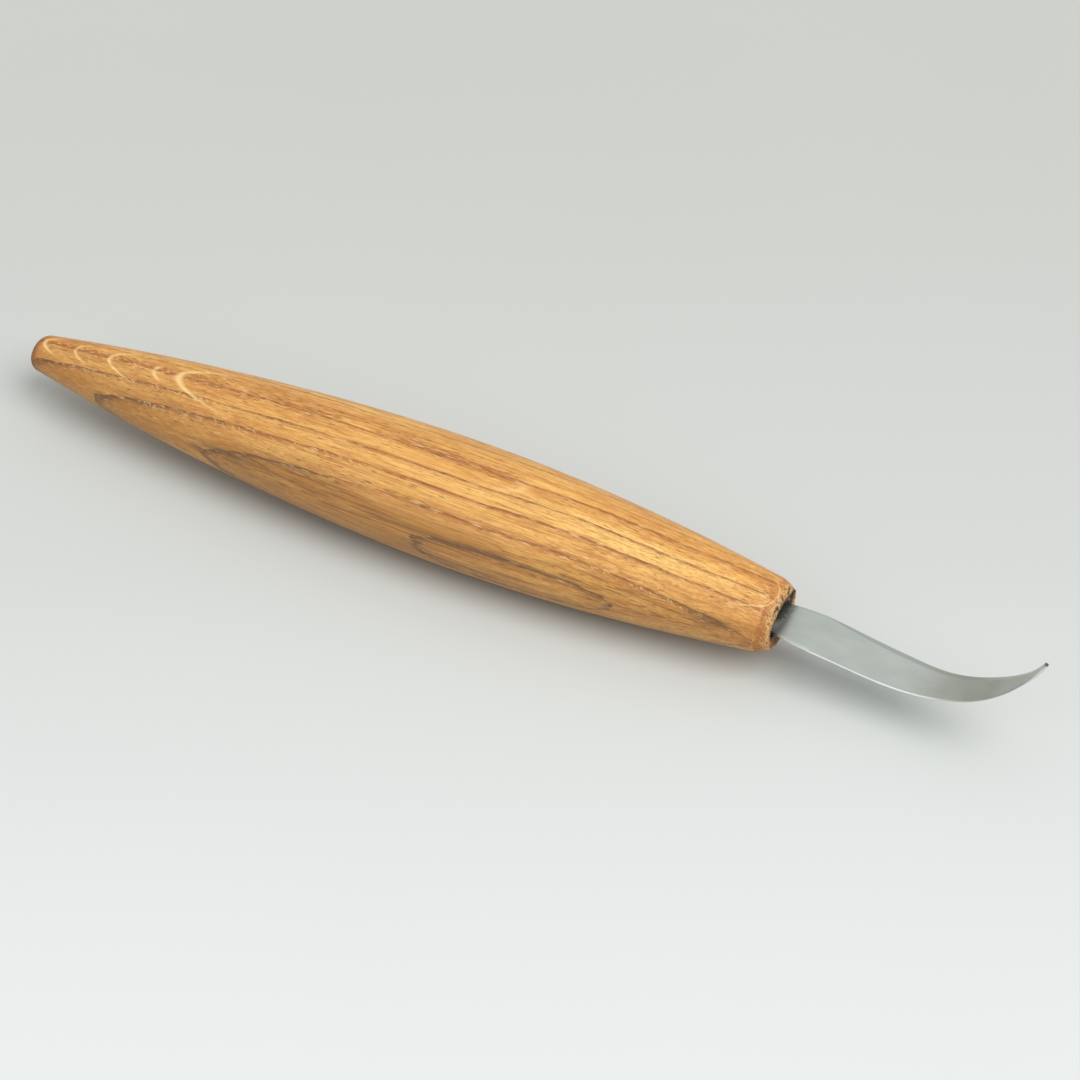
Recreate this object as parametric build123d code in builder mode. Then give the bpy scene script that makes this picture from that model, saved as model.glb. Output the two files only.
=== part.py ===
from build123d import *
import os

# Hook knife for carving spoons and bowls. All sizes are in millimetres.
# +X runs along the handle towards the blade's tip, +Y is the side of the blade's
# front edge, and +Z is up, the way the hook sweeps. The origin is under the middle of
# the knife's overall length, on the surface that the handle's belly lies on.

# Handle
HANDLE_LENGTH = 205.0
GRIP_WIDTH = 34.0
HEIGHT_OVER_WIDTH = 0.82
BUTT_ROUNDING = 3.2
FRONT_CHAMFER = 3.6
FRONT_HALF_WIDTH = 8.3
FRONT_SPARE = 1.0

# The handle's outline: distance from the butt, half width
HANDLE_OUTLINE = (
    (0, 4.7),
    (29, 9.8),
    (69, 14.5),
    (117, GRIP_WIDTH / 2),
    (164, 14.9),
    (HANDLE_LENGTH - FRONT_CHAMFER, 10.1),
)

# Slot in the handle's front end, with the resin a little below its mouth
SLOT_WIDTH = 11.4
SLOT_HEIGHT = 3.4
SLOT_CORNER = 1.2
SLOT_DEPTH = 72.0
SLOT_MOUTH_WEAR = 0.5
RESIN_SINK = 1.2

# Steel strip: tang, then a short flat shank, then the ground and bent hook. It is ground
# on both sides: the front edge is at +Y, the back edge at -Y runs on to the shoulder.
STEEL = 1.5
CORNER_BREAK = 0.25
BACK_SIDE = 7.1
FRONT_SIDE = 5.05
BLADE_REACH = 65.3

# Tang, with pairs of notches that key it into the resin
TANG_LENGTH = 68.0
TANG_END_SIDE = 3.2
NECK_SIDE = 4.7
NECK_SETBACK = 2.0
SHOULDER_MIDDLE = (2.6, -6.3)
NOTCH_RADIUS = 1.3
NOTCH_SETBACKS = (18, 32, 46)

# Centre line of the bent strip from the side: distance from the handle, height
GROUND_START = 9.0
HOOK_LINE = (
    (0, 0),
    (GROUND_START, 0),
    (31, -2.0),
    (44, 0.1),
    (55, 6.0),
    (65.2, 19.0),
)

# Ground sections, at distances along the bent strip from the handle: distance,
# thickness, back side, front side, widths of the back, front and inner bevels. The back
# and front bevels are on the hook's outside, the inner one is narrow, at the front edge.
TIP_DISTANCE = 73.5
TIP_BACK_SIDE = 2.8
TIP_FRONT_SIDE = -1.3
TIP_RADIUS = 0.85
TIP_THICKNESS = 0.85
SHANK_BEVEL = 2.2
GROUND_SECTIONS = (
    (GROUND_START, STEEL, BACK_SIDE, FRONT_SIDE, SHANK_BEVEL, 0.4, 0.1),
    (13, STEEL, BACK_SIDE, 5.0, 2.6, 2.4, 0.7),
    (19, STEEL, BACK_SIDE, 4.75, 2.9, 3.6, 1.2),
    (31, STEEL, BACK_SIDE, 3.9, 3.0, 4.0, 1.4),
    (43, STEEL, 6.9, 2.1, 2.9, 3.8, 1.3),
    (55, STEEL, 6.3, 1.2, 2.8, 3.2, 1.1),
    (65, 1.25, 4.5, -0.2, 2.0, 1.9, 0.8),
    (TIP_DISTANCE, TIP_THICKNESS, TIP_BACK_SIDE, TIP_FRONT_SIDE, 0.6, 0.5, 0.3),
)
BACK_BEVEL_SLOPE = 0.36
FRONT_BEVEL_SLOPE = 0.32
INNER_BEVEL_SLOPE = 0.14
EDGE_LAND = 0.15
SHANK_CUT_MARGIN = 1.0

# Worked out from the above
CHAMFER_SLOPE = (FRONT_HALF_WIDTH - HANDLE_OUTLINE[-1][1]) / FRONT_CHAMFER
SPARE_END = (HANDLE_LENGTH + FRONT_SPARE, FRONT_HALF_WIDTH + CHAMFER_SLOPE * FRONT_SPARE)
OVERALL_LENGTH = HANDLE_LENGTH + BLADE_REACH
HALF_STEEL = STEEL / 2
TIP_MIDDLE = (TIP_FRONT_SIDE - TIP_BACK_SIDE) / 2
SHANK_CUT = (
    (SHANK_BEVEL - BACK_SIDE, -HALF_STEEL),
    (-BACK_SIDE - SHANK_CUT_MARGIN, BACK_BEVEL_SLOPE * (SHANK_BEVEL + SHANK_CUT_MARGIN) - HALF_STEEL),
    (-BACK_SIDE - SHANK_CUT_MARGIN, -STEEL),
    (SHANK_BEVEL - BACK_SIDE, -STEEL),
)
BUTT_CENTRE = Vector(-OVERALL_LENGTH / 2, 0, GRIP_WIDTH / 2 * HEIGHT_OVER_WIDTH)
FRONT_CENTRE = BUTT_CENTRE + Vector(HANDLE_LENGTH, 0, 0)

# Planes: the two ends seen from the side, the front end seen face on, the flat of the tang
BUTT_SIDE_PLANE = Plane(origin=BUTT_CENTRE, x_dir=(1, 0, 0), z_dir=(0, -1, 0))
FRONT_SIDE_PLANE = Plane(origin=FRONT_CENTRE, x_dir=(1, 0, 0), z_dir=(0, -1, 0))
FRONT_PLANE = Plane(origin=FRONT_CENTRE, x_dir=(0, 1, 0), z_dir=(1, 0, 0))
TANG_PLANE = Plane(origin=FRONT_CENTRE, x_dir=(1, 0, 0), z_dir=(0, 0, 1))


def strip_plane(distance, setback=0):
    """Plane square to the bent strip, at a distance along it; local X is +Y."""
    direction = strip_line.tangent_at(distance, position_mode=PositionMode.LENGTH)
    point = strip_line.position_at(distance, position_mode=PositionMode.LENGTH)
    return Plane(origin=point - direction * setback, x_dir=(0, 1, 0), z_dir=direction)


def ground_corners(thickness, back_side, front_side, back_bevel, front_bevel, inner_bevel):
    """Corners of a ground section: distance across the blade, height in the steel."""
    underside = HALF_STEEL - thickness
    front_top = HALF_STEEL - INNER_BEVEL_SLOPE * inner_bevel
    front_bottom = min(underside + FRONT_BEVEL_SLOPE * front_bevel, front_top - EDGE_LAND)
    return (
        (-back_side, HALF_STEEL - CORNER_BREAK),
        (-back_side, underside + BACK_BEVEL_SLOPE * back_bevel),
        (back_bevel - back_side, underside),
        (front_side - front_bevel, underside),
        (front_side, front_bottom),
        (front_side, front_top),
        (front_side - inner_bevel, HALF_STEEL),
        (CORNER_BREAK - back_side, HALF_STEEL),
    )


# Handle: a turned outline, oval in section, sawn square in front, with a slot for the tang
with BuildPart() as handle:
    with BuildSketch(BUTT_SIDE_PLANE) as turned_outline:
        with BuildLine():
            Spline(*HANDLE_OUTLINE)
            Polyline(HANDLE_OUTLINE[-1], SPARE_END, (SPARE_END[0], 0), (0, 0), HANDLE_OUTLINE[0])
        make_face()
        butt_corner = turned_outline.vertices().sort_by_distance(HANDLE_OUTLINE[0])[0]
        fillet(butt_corner, BUTT_ROUNDING)
    revolve(axis=Axis(BUTT_CENTRE, (1, 0, 0)))
    scale(by=(1, 1, HEIGHT_OVER_WIDTH), about=BUTT_CENTRE)
    split(bisect_by=FRONT_PLANE, keep=Keep.BOTTOM)
    with BuildSketch(FRONT_PLANE):
        RectangleRounded(SLOT_WIDTH, SLOT_HEIGHT, SLOT_CORNER)
    extrude(amount=-SLOT_DEPTH, mode=Mode.SUBTRACT)
    front_face = handle.faces().filter_by(Axis.X).sort_by(Axis.X)[-1]
    chamfer(front_face.inner_wires()[0].edges(), SLOT_MOUTH_WEAR)
handle.part.label = "handle"

# Centre line of the steel strip, from the handle's front face to the tip
with BuildLine(FRONT_SIDE_PLANE) as hook_line:
    Spline(*HOOK_LINE)
strip_line = hook_line.edges()[0]

# Blade: tang and shank cut from flat strip, joined to the ground and bent hook
with BuildPart() as blade:
    with BuildSketch(TANG_PLANE.offset(-HALF_STEEL)):
        with BuildLine():
            ThreePointArc((-NECK_SETBACK, -NECK_SIDE), SHOULDER_MIDDLE, (GROUND_START, -BACK_SIDE))
            Polyline(
                (GROUND_START, -BACK_SIDE),
                (GROUND_START, FRONT_SIDE),
                (-NECK_SETBACK, NECK_SIDE),
                (-TANG_LENGTH, TANG_END_SIDE),
                (-TANG_LENGTH, -TANG_END_SIDE),
                (-NECK_SETBACK, -NECK_SIDE),
            )
        make_face()
        for setback in NOTCH_SETBACKS:
            taper = (setback - NECK_SETBACK) / (TANG_LENGTH - NECK_SETBACK)
            tang_side = NECK_SIDE + taper * (TANG_END_SIDE - NECK_SIDE)
            with Locations((-setback, tang_side), (-setback, -tang_side)):
                Circle(NOTCH_RADIUS, mode=Mode.SUBTRACT)
    extrude(amount=STEEL)
    shoulder_face = blade.faces().filter_by(GeomType.CYLINDER).sort_by(Axis.X)[-1]
    chamfer(shoulder_face.edges().filter_by(GeomType.CIRCLE).sort_by(Axis.Z)[-1], CORNER_BREAK)
    with BuildSketch(FRONT_PLANE.offset(-NECK_SETBACK)):
        Polygon(*SHANK_CUT, align=None)
    extrude(amount=NECK_SETBACK + GROUND_START, mode=Mode.SUBTRACT)
    for distance, *sizes in GROUND_SECTIONS:
        with BuildSketch(strip_plane(distance)):
            with BuildLine():
                Polyline(*ground_corners(*sizes), close=True)
            make_face()
    loft()
    nose_plane = strip_plane(TIP_DISTANCE, setback=TIP_RADIUS)
    with BuildSketch(Plane(origin=nose_plane.origin, x_dir=nose_plane.z_dir, z_dir=nose_plane.y_dir)):
        with Locations((0, TIP_MIDDLE)):
            Rectangle(2 * TIP_RADIUS, 4 * TIP_RADIUS, align=(Align.MIN, Align.CENTER))
            Circle(TIP_RADIUS, mode=Mode.SUBTRACT)
    extrude(amount=STEEL, both=True, mode=Mode.SUBTRACT)
blade.part.label = "blade"

# Adhesive: the set resin that fills the slot around the tang
with BuildPart() as tang_adhesive:
    with BuildSketch(FRONT_PLANE.offset(-RESIN_SINK)):
        RectangleRounded(SLOT_WIDTH, SLOT_HEIGHT, SLOT_CORNER)
    extrude(amount=RESIN_SINK - SLOT_DEPTH)
    add(blade.part, mode=Mode.SUBTRACT)
tang_adhesive.part.label = "tang_adhesive"

os.makedirs("parts", exist_ok=True)
export_step(handle.part, "parts/handle.step")
export_step(blade.part, "parts/blade.step")
export_step(tang_adhesive.part, "parts/tang_adhesive.step")
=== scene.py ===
import math

import bpy
import numpy as np
from mathutils import Matrix, Vector, noise


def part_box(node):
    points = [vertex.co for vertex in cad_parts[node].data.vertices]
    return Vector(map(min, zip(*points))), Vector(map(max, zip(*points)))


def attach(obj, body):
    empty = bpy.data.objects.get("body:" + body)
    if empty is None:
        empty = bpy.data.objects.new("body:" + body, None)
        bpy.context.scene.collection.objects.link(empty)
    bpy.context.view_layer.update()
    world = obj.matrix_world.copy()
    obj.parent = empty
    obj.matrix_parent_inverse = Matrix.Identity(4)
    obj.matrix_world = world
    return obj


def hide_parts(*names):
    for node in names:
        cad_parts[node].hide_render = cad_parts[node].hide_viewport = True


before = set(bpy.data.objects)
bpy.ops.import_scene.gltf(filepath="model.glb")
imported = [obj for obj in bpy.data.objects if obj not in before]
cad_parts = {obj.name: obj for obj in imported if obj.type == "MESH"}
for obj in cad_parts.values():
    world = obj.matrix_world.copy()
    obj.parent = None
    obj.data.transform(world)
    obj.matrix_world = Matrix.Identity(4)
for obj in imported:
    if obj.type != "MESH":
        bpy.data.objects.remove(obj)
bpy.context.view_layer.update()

# Shapes are worked out in millimetres and written in metres. Distances on the handle are
# measured from its butt, distances on the blade from the handle's front face. Angles round the
# handle are in degrees, from +Y (the front edge's side) up over the top; the photo's near side
# is at 180.
MM = 0.001
HANDLE_LO, HANDLE_HI = (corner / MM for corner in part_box("handle"))
BUTT_X, FRONT_X = HANDLE_LO.x, HANDLE_HI.x
AXIS_Z = (HANDLE_LO.z + HANDLE_HI.z) / 2
HANDLE_LENGTH = FRONT_X - BUTT_X

# Handle: its outline is distance, half width
HEIGHT_OVER_WIDTH = 0.82
BUTT_ROUNDING = 3.2
OUTLINE = ((0, 4.7), (29, 9.8), (69, 14.5), (117, 17), (164, 14.9), (201.4, 10.1))
CHAMFER_START = OUTLINE[-1][0]
FRONT_RADIUS = 8.3
SLOT_HALF_WIDTH, SLOT_HALF_HEIGHT, SLOT_CORNER = 5.7, 1.7, 1.2
SLOT_DEPTH = 72.0
MOUTH_DEPTH = 2.4
SLOT_STEPS = (0.5, 1.0, 1.6, MOUTH_DEPTH, 4, 7, 11, *np.linspace(16, SLOT_DEPTH, 15))
HANDLE_COLUMNS = 240
BUTT_ROWS, ROUNDING_ROWS, GRIP_ROWS, CHAMFER_ROWS, FACE_ROWS = 6, 13, 292, 17, 19

# Wear on the grip: a sanding loss, hollows along the rings, and small dents (distance,
# angle, size, depth)
SANDING_LOSS, RING_HOLLOW = 0.05, 0.085
DENTS = ((157, 143, 0.9, 0.22), (88, 205, 1.4, 0.12), (140, 320, 1.2, 0.14))
# How far the butt's end grain reaches, and the painted shade on its end
BUTT_END_GRAIN, BUTT_PAINTED_SHADE = 4.5, 0.32

# Front end: a filed chamfer with a worn crest, and a sawn face with a scoop above the slot, a
# chip beside it and a ridge between the two (each: y, reach, z, reach)
CREST_SETBACK, CHAMFER_SWELL, CREST_LOSS, CREST_DIRT = 0.15, 0.16, 0.38, 0.54
SCOOP, SCOOP_DEPTH = (0, 4.2, 2.0, 1.4), 1.15
CHIP, CHIP_DEPTH = (6.3, 1.2, 2.0, 1.9), 0.9
RIDGE, RIDGE_LEAN, RIDGE_HEIGHT = (5.3, 0.42, 1.8, 1.3), 0.45, 0.7
SAW_DEPTH, SAW_ROUGHNESS, MOUTH_SINK = 0.16, 0.22, 0.45

# Growth rings: where each starts across the handle, and how far they all drift along it
RING_EDGES = (-20.4, -16.3, -12.3, -8.4, -4.5, -1.05, 3.7, 7.7, 12.4, 15.9, 19.8)
RING_DRIFT = (
    (0, 0.9), (20, 0.8), (60, 0.5), (90, 0.5), (130, 0), (150, -1.0), (180, -1.5), (205, -2.7),
)
# Near the surface on the near side they shift, which ends the loops where the photo shows it
NEAR_SURFACE = (13.5, 15.5)
BUTT_SHIFT, BUTT_SHIFT_FADE = 0.75, (108, 128)
FRONT_SHIFT, FRONT_SHIFT_FADE = 0.55, (150, 162)
RING_WOBBLES = ((0.34, (34, 9, 7), 3.1), (0.13, (7, 4, 2.2), 8.7))
# Each ring has a strength, a width and a fineness for its porous band
RING_STRENGTH = (0.8, 0.7, 0.9, 0.45, 0.50, 0.95, 1.0, 1.0, 1.0, 1.0, 0.8)
RING_WIDTH = (0.14, 0.16, 0.14, 0.18, 0.16, 0.24, 0.16, 0.16, 0.13, 0.07, 0.14)
RING_FINENESS = (1, 1, 1, 1, 1, 1, 1, 1, 1.3, 2.3, 1)

# Rays: thin sheets across the rings (height over the axis, half thickness). One shows only as
# a short arc and one only at the front end; both are picked out by the heights round them.
RAY_TILT, RAY_REACH = 0.03, 16
RAYS = (
    (4.3, 0.13), (5.72, 0.085), (7.12, 0.10), (7.50, 0.14), (8.72, 0.10), (9.45, 0.17),
    (13.62, 0.10),
)
SHORT_RAY = ((8.2, 8.5), (8.95, 9.2))
FRONT_RAY = ((7.24, 7.34), (7.66, 7.78))
RAY_ANGLES, RAY_FADE, SHORT_RAY_ANGLES = ((56, 76), (111, 127)), (60, 66), ((80, 86), (104, 110))
MIDDLE_ARC, FRONT_ARC = (0.55, 131, 138, 88, 104, 1.5), (0.75, 190, 215, 66, 126, 4)

# Patches of colour in the wood, where the photo shows them.
# A blob is strength, distance, reach, angle, spread. A plateau is strength, start, end, low
# angle, high angle and, where it isn't the usual one, the fade at its ends.
PLATEAU_FADE, ANGLE_FADE = 6, 5
# Painted shade and a darker tone: at the butt's end, falling off from the butt, on the near side
# and in the shade plateaus, some of which lighten
END_SHADE, BUTT_SHADE, NEAR_SHADE = 2.2, 0.38, 0.42
# Golden patches on the top, partly a painted highlight
GOLDEN_AND_HIGHLIGHT_BLOBS = (
    (1.5, 170, 34, 103, 10), (0.65, 100, 48, 111, 6), (0.35, 120, 60, 64, 12),
    (0.45, 120, 55, 127, 6),
)
SHADE_PLATEAUS = (
    (0.22, 0, 45, 128, 232), (0.58, 60, 138, 146, 214), (0.34, 138, 192, 146, 214),
    (-0.35, 118, 165, 166, 190), (0.30, 45, 138, 149, 165), (0.25, 0, 205, 215, 325),
    (0.38, 0, 45, 98, 148), (0.28, 45, 98, 98, 148), (0.18, 98, 145, 98, 148),
    (0.20, 145, 200, 112, 148),
)
OLIVE_BLOBS = (
    (1.2, 192, 6, 160, 9), (1.3, 61, 6, 164, 4), (1.3, 138, 18, 161, 2.6),
    (0.35, 118, 12, 163, 4), (1.3, 125, 17, 189, 1.8), (0.8, 141, 8, 181, 2),
    (1.1, 54, 2.4, 173, 5), (0.55, 80, 10, 147, 3), (1.1, 24, 2.2, 164, 5),
    (0.8, 74, 10, 162, 2), (0.55, 33, 5, 146, 4), (0.45, 45, 6, 131, 2.5),
    (0.6, 150, 30, 340, 9),
)
RED_PLATEAUS = (
    (1, 60, 86, 82, 93, 4), (1, 100, 136, 81, 91, 5), (1, 2, 56, 82, 94, 5),
    (0.16, 45, 138, 62, 84), (0.30, 196, 204, 62, 122, 3),
)
RED_BLOBS = (
    (0.9, 125, 48, 137.5, 2.8), (0.5, 70, 16, 127, 3), (0.9, 20, 26, 89, 3.0),
    (0.6, 25, 22, 300, 14), (0.5, 120, 35, 260, 12),
)
STREAKY_PLATEAUS = ((1, 58, 190, 147, 176), (0.3, 40, 205, 176, 330))
FEATHERY_PLATEAUS = ((1, 8, 62, 100, 150), (1, 50, 98, 116, 140), (0.8, 156, 190, 134, 160))

# Blade: a steel strip with a notched tang, a rounded shoulder and a hooked centre line
STEEL = 1.5
BACK_SIDE, FRONT_SIDE, SHANK_BEVEL = 7.1, 5.05, 2.2
TANG_LENGTH, TANG_END_SIDE, NECK_SIDE, NECK_SETBACK = 68.0, 3.2, 4.7, 2.0
NOTCH_RADIUS, NOTCH_SETBACKS = 1.3, (18, 32, 46)
GROUND_START = 9.0
SHOULDER = ((-NECK_SETBACK, -NECK_SIDE), (2.6, -6.3), (GROUND_START, -BACK_SIDE))
HOOK_LINE = ((0, 0), (GROUND_START, 0), (31, -2.0), (44, 0.1), (55, 6.0), (65.2, 19.0))
TIP_DISTANCE, TIP_RADIUS, TIP_THICKNESS = 73.5, 0.85, 0.85
TIP_BACK_SIDE, TIP_FRONT_SIDE = 2.8, -1.3
TIP_MIDDLE = (TIP_FRONT_SIDE - TIP_BACK_SIDE) / 2
NOSE_START = TIP_DISTANCE - TIP_RADIUS

# Ground sections: distance along the strip, thickness, back side, front side, and the widths
# of the back, front and inner bevels
GROUND_SECTIONS = (
    (GROUND_START, STEEL, BACK_SIDE, FRONT_SIDE, SHANK_BEVEL, 0.4, 0.1),
    (13, STEEL, BACK_SIDE, 5.0, 2.6, 2.4, 0.7),
    (19, STEEL, BACK_SIDE, 4.75, 2.9, 3.6, 1.2),
    (31, STEEL, BACK_SIDE, 3.9, 3.0, 4.0, 1.4),
    (43, STEEL, 6.9, 2.1, 2.9, 3.8, 1.3),
    (55, STEEL, 6.3, 1.2, 2.8, 3.2, 1.1),
    (65, 1.25, 4.5, -0.2, 2.0, 1.9, 0.8),
    (TIP_DISTANCE, TIP_THICKNESS, TIP_BACK_SIDE, TIP_FRONT_SIDE, 0.6, 0.5, 0.3),
)
BACK_SLOPE, FRONT_SLOPE, INNER_SLOPE = 0.36, 0.32, 0.14
EDGE_LAND, EDGE_FACET = 0.15, 0.21
PLAIN_BEVEL, LEAST_BEVEL, BEVEL_SHARES = 0.1, 0.05, (0.45, 0.45, 0.3)


def spline(points):
    """Smooth curve through points: a function of the distance along them, and its length."""
    points = np.array(points, float)
    steps = np.hypot(*np.diff(points[:, :2], axis=0).T)
    knots = np.r_[0, np.cumsum(steps)]
    n = len(points)
    ends = []
    for part, at in ((slice(0, 4), knots[0]), (slice(-4, None), knots[-1])):
        fits = [np.polyfit(knots[part], column, 3) for column in points[part].T]
        ends.append([np.polyval(np.polyder(fit), at) for fit in fits])
    matrix, right = np.eye(n), np.zeros_like(points)
    right[0], right[-1] = ends
    for i in range(1, n - 1):
        before, after = steps[i - 1], steps[i]
        matrix[i, i - 1 : i + 2] = after, 2 * (before + after), before
        rise_in = (points[i] - points[i - 1]) / before
        rise_out = (points[i + 1] - points[i]) / after
        right[i] = 3 * (after * rise_in + before * rise_out)
    slopes = np.linalg.solve(matrix, right)

    def curve(at):
        at = np.clip(np.atleast_1d(at), 0, knots[-1])
        i = np.clip(np.searchsorted(knots, at) - 1, 0, n - 2)
        h = steps[i][:, None]
        t = (at - knots[i])[:, None] / h
        return (
            (2 * t**3 - 3 * t**2 + 1) * points[i]
            + (t**3 - 2 * t**2 + t) * h * slopes[i]
            + (3 * t**2 - 2 * t**3) * points[i + 1]
            + (t**3 - t**2) * h * slopes[i + 1]
        )

    return curve, knots[-1]


def wobble(x, y, z, scales, seed=0.0):
    """Smooth noise from -1 to 1 at each point, with its size in mm along X, Y and Z."""
    grid = np.stack(np.broadcast_arrays(x, y, z), -1)
    points = grid.reshape(-1, 3) / np.array(scales) + seed
    return np.array([noise.noise(Vector(p)) for p in points]).reshape(grid.shape[:-1])


def smoothstep(low, high, value):
    """Smooth change from 0 to 1 while value goes from low to high."""
    t = np.clip((value - low) / (high - low), 0, 1)
    return t * t * (3 - 2 * t)


def between(value, rise, fall):
    """1 between two smooth steps, each given by where it starts and ends, and 0 outside."""
    return smoothstep(*rise, value) - smoothstep(*fall, value)


def blob(u, v, u_middle, u_size, v_middle, v_size):
    """Soft round patch: 1 in its middle, with a size each way."""
    return np.exp(-(((u - u_middle) / u_size) ** 2) - ((v - v_middle) / v_size) ** 2)


def blobs(distance, angle, patches):
    """Sum of blobs, each with its strength first."""
    return sum(strength * blob(distance, angle, *patch) for strength, *patch in patches)


def plateau(distance, angle, start, end, low, high, fade=PLATEAU_FADE):
    """Soft-edged patch between two distances and two angles."""
    along = between(distance, (start - fade, start + fade), (end - fade, end + fade))
    low_edge, high_edge = ((edge - ANGLE_FADE, edge + ANGLE_FADE) for edge in (low, high))
    return along * between(angle, low_edge, high_edge)


def plateaus(distance, angle, patches):
    """Sum of plateaus, each with its strength first."""
    return sum(strength * plateau(distance, angle, *patch) for strength, *patch in patches)


def add_mesh(name, points, faces, attributes, sharp=()):
    """A smooth mesh object from points in mm, with one attribute per name and sharp edges."""
    mesh = bpy.data.meshes.new(name)
    mesh.from_pydata((np.asarray(points) * MM).tolist(), [], faces)
    mesh.validate()
    mesh.polygons.foreach_set("use_smooth", [True] * len(mesh.polygons))
    for key, values in attributes.items():
        kind, field = ("FLOAT", "value") if np.ndim(values) == 1 else ("FLOAT_VECTOR", "vector")
        layer = mesh.attributes.new(key, kind, "POINT")
        layer.data.foreach_set(field, np.ascontiguousarray(values, np.float32).ravel())
    if sharp:
        for edge in mesh.edges:
            if tuple(sorted(edge.vertices)) in sharp:
                edge.use_edge_sharp = True
    mesh.update()
    return add_object(name, mesh)


def add_object(name, data):
    """A new object in the scene, with the given mesh, light or camera data."""
    made = bpy.data.objects.new(name, data)
    bpy.context.scene.collection.objects.link(made)
    return made


def grid_faces(rows, columns):
    """Quads between closed rows of points, numbered row by row."""
    faces = []
    for row in range(rows - 1):
        a, b = row * columns, (row + 1) * columns
        for k in range(columns):
            n = (k + 1) % columns
            faces.append((a + k, a + n, b + n, b + k))
    return faces


# ---------------------------------------------------------------- handle shape

def ring_coordinate(distance, y, z):
    """Growth ring number at points of the wood: whole at each ring's start."""
    across = -y - np.interp(distance, *np.array(RING_DRIFT).T)
    near_side = smoothstep(*NEAR_SURFACE, -y)
    across = across - BUTT_SHIFT * near_side * (1 - smoothstep(*BUTT_SHIFT_FADE, distance))
    across = across + FRONT_SHIFT * near_side * smoothstep(*FRONT_SHIFT_FADE, distance)
    for size, scales, seed in RING_WOBBLES:
        across = across + size * wobble(distance, y, z, scales, seed)
    return np.interp(across, RING_EDGES, range(len(RING_EDGES)))


def ring_band(ring):
    """How deep into a ring's first, porous wood a point is: 1 at its start, falling to 0."""
    part = ring % 1
    strength = np.take(RING_STRENGTH, np.clip(ring.astype(int), 0, len(RING_STRENGTH) - 1))
    return strength * np.exp(-part / 0.10) * smoothstep(0, 0.02, part)


def wood_character(distance, y, z):
    """How golden, shaded, red, stained and streaky the wood is, and where its rays show; the
    golden is partly a painted highlight and the shade is partly painted shade.
    """
    angle = np.degrees(np.arctan2(z / HEIGHT_OVER_WIDTH, y)) % 360
    # Painted shade on the butt's end and the near side, with a darker tone towards the butt
    tone_and_painted_shade = END_SHADE * (1 - smoothstep(0.3, 3.0, distance))
    tone_and_painted_shade += BUTT_SHADE * (1 - smoothstep(20, 115, distance))
    tone_and_painted_shade += NEAR_SHADE * smoothstep(118, 162, angle) * (1 - smoothstep(225, 250, angle))
    tone_and_painted_shade += plateaus(distance, angle, SHADE_PLATEAUS)
    red = plateaus(distance, angle, RED_PLATEAUS) + blobs(distance, angle, RED_BLOBS)
    feathery = 0.25 + plateaus(distance, angle, FEATHERY_PLATEAUS)

    # Rays show on the top near the butt, with one short arc at mid-length and one in front
    height = z - RAY_TILT * y
    shows = between(angle, *RAY_ANGLES) * (1 - smoothstep(*RAY_FADE, distance))
    shows *= 1 - between(height, *SHORT_RAY) * (1 - between(angle, *SHORT_RAY_ANGLES))
    in_front = between(height, *FRONT_RAY)
    shows *= 1 - in_front
    shows += plateaus(distance, angle, [MIDDLE_ARC])
    shows += in_front * plateaus(distance, angle, [FRONT_ARC])
    return {
        "golden_and_painted_highlight": blobs(distance, angle, GOLDEN_AND_HIGHLIGHT_BLOBS),
        "tone_and_painted_shade": tone_and_painted_shade,
        "red": np.clip(red, 0, 1),
        "olive": blobs(distance, angle, OLIVE_BLOBS),
        "streaky": plateaus(distance, angle, STREAKY_PLATEAUS),
        "feathery": np.clip(feathery, 0, 1),
        "ray_shows": np.clip(shows, 0, 1),
    }


def slot_reach(direction):
    """Distance from the slot's middle to its outline, in each direction."""
    c, s = np.abs(np.cos(direction)) + 1e-9, np.abs(np.sin(direction)) + 1e-9
    inner_w, inner_h = SLOT_HALF_WIDTH - SLOT_CORNER, SLOT_HALF_HEIGHT - SLOT_CORNER
    along = c * inner_w + s * inner_h
    corner = along + np.sqrt(np.maximum(along**2 - inner_w**2 - inner_h**2 + SLOT_CORNER**2, 0))
    reach = np.where(SLOT_HALF_WIDTH / c * s <= inner_h, SLOT_HALF_WIDTH / c, corner)
    return np.where(SLOT_HALF_HEIGHT / s * c <= inner_w, SLOT_HALF_HEIGHT / s, reach)


def handle_profile():
    """Distance and radius of each row, from the butt's middle to the chamfer's start."""
    curve, length = spline(OUTLINE)
    dense = curve(np.linspace(0, length, 8001))
    slope = np.gradient(dense[:, 1], dense[:, 0])
    normal = np.stack([slope, -np.ones_like(slope)], -1) / np.hypot(slope, 1)[:, None]
    centres = dense + BUTT_ROUNDING * normal
    touch = int(np.argmin(np.abs(centres[: len(centres) // 4, 0] - BUTT_ROUNDING)))
    centre, contact = centres[touch], dense[touch]
    end_angle = math.atan2(contact[1] - centre[1], contact[0] - centre[0])
    rows = [(0.0, r) for r in np.linspace(0, centre[1], BUTT_ROWS)[1:]]
    for angle in np.linspace(math.pi, end_angle, ROUNDING_ROWS)[1:]:
        rows.append(tuple(centre + BUTT_ROUNDING * np.array([math.cos(angle), math.sin(angle)])))
    body = np.linspace(contact[0], CHAMFER_START, GRIP_ROWS)[1:]
    rows += [(at, np.interp(at, dense[:, 0], dense[:, 1])) for at in body]
    return np.array(rows)


def wood_rows(*values):
    """Rows of points: distance, y, z, and how much end grain, crumble, and grime and painted shade
    each has.
    """
    return np.stack([np.atleast_2d(value) for value in np.broadcast_arrays(*values)], -1)


def oval(radius, turn):
    """Y and Z of points on the handle's oval section, turn being in radians."""
    return radius * np.cos(turn), HEIGHT_OVER_WIDTH * radius * np.sin(turn)


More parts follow.
